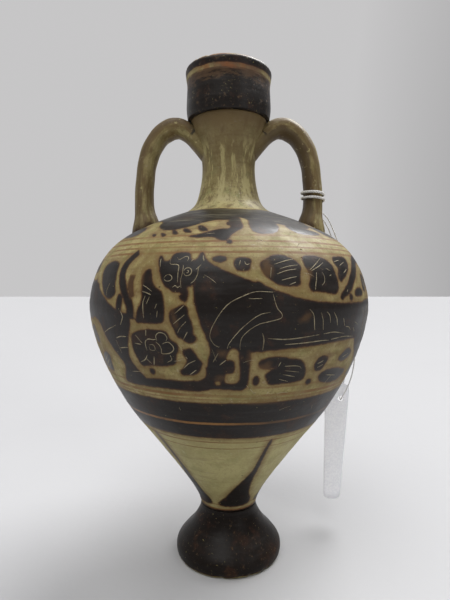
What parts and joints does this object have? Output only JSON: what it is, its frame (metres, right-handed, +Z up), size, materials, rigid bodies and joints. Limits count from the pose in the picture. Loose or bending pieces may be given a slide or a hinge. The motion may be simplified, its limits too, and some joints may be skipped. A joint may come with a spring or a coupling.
{
  "type": "neck amphora",
  "caption": "Small black-figure clay neck-amphora for oil or wine, with upright handles, a painted animal frieze and a hanging paper tag.",
  "frame": {"origin": "centre of the ring that the foot stands on", "axes": "+Z up along the jar's axis, the handles on +X and -X, the front of the painted frieze towards -Y"},
  "size_m": [0.1144, 0.1124, 0.2],
  "materials": {
    "painted_body": "pale clay painted with semi-gloss black slip",
    "black_slip": "semi-gloss black slip, worn at the edge",
    "black_slip_mouth": "semi-gloss black slip with one band left in the clay",
    "bare_clay": "matt unpainted clay, stained with age",
    "cotton_string": "white cotton",
    "fine_thread": "pale fine thread",
    "tag_paper": "pale bluish card, plain"
  },
  "bodies": {
    "jar": {"foot": "black_slip", "body": "painted_body", "neck": "bare_clay", "mouth": "black_slip_mouth", "handle_left": "bare_clay", "handle_right": "bare_clay", "string_wrap": "cotton_string", "string_knot": "cotton_string", "tag_thread": "fine_thread"},
    "tag": {"tag": "tag_paper"}
  },
  "joints": [
    {"name": "tag_swing", "type": "hinge", "parent": "jar", "child": "tag", "pos_m": [0.052, 0.017, 0.0605], "axis": [0, 1, 0], "range_deg": [-60, 40]}
  ]
}
